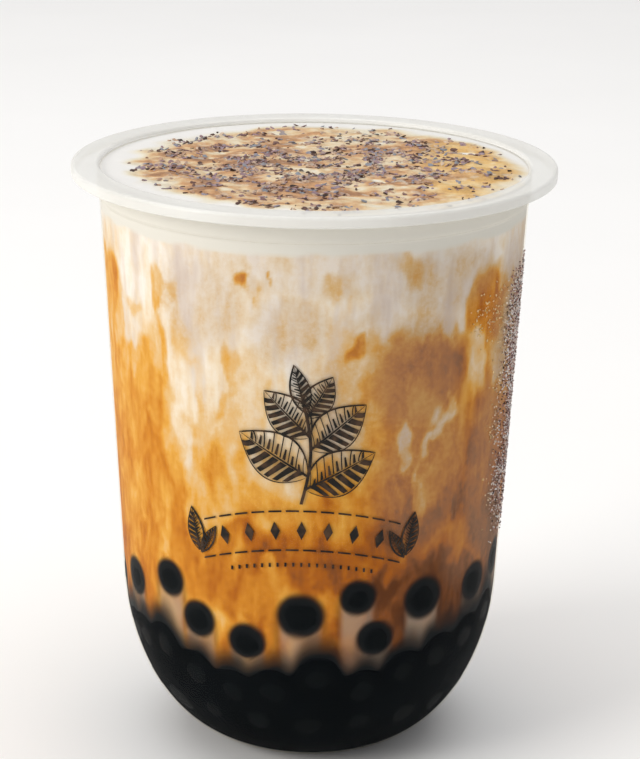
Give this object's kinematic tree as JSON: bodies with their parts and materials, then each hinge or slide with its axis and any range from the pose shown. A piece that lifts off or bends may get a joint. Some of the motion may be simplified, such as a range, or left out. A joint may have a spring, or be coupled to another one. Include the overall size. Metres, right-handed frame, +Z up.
{
  "type": "bubble tea",
  "caption": "Bubble tea in a clear round-bottomed takeaway cup: brown sugar milk over dark tapioca pearls, with a torched, crumb-topped cream foam level with the rim.",
  "frame": {"origin": "middle of the flat foot, at the bottom of the cup", "axes": "+Z up along the cup's axis, -Y towards the printed front, +X to the right of the front as seen"},
  "size_m": [0.095, 0.095, 0.119],
  "materials": {
    "clear_plastic": "clear moulded polypropylene, glossy wall and milky rim",
    "milk_tea": "milk marbled with brown sugar syrup, wet",
    "cream_foam": "whipped cream foam, torched in patches, soft sheen",
    "tapioca": "black tapioca, wet and glossy",
    "crumbs": "dark biscuit and burnt sugar crumbs, matte",
    "print_ink": "black print ink, satin",
    "water": "condensed water beads, clear and glossy"
  },
  "bodies": {
    "root": {"cup": "clear_plastic", "foam": "cream_foam", "drink": "milk_tea", "pearl_heap": "tapioca", "pearl_01": "tapioca", "pearl_02": "tapioca", "pearl_03": "tapioca", "pearl_04": "tapioca", "pearl_05": "tapioca", "pearl_06": "tapioca", "pearl_07": "tapioca", "pearl_08": "tapioca", "pearl_09": "tapioca", "pearl_10": "tapioca", "pearl_11": "tapioca", "pearl_12": "tapioca", "pearl_13": "tapioca", "pearl_14": "tapioca", "pearl_15": "tapioca", "pearl_16": "tapioca", "pearl_17": "tapioca", "pearl_18": "tapioca", "pearl_19": "tapioca", "pearl_20": "tapioca", "pearl_21": "tapioca", "pearl_22": "tapioca"}
  },
  "joints": []
}
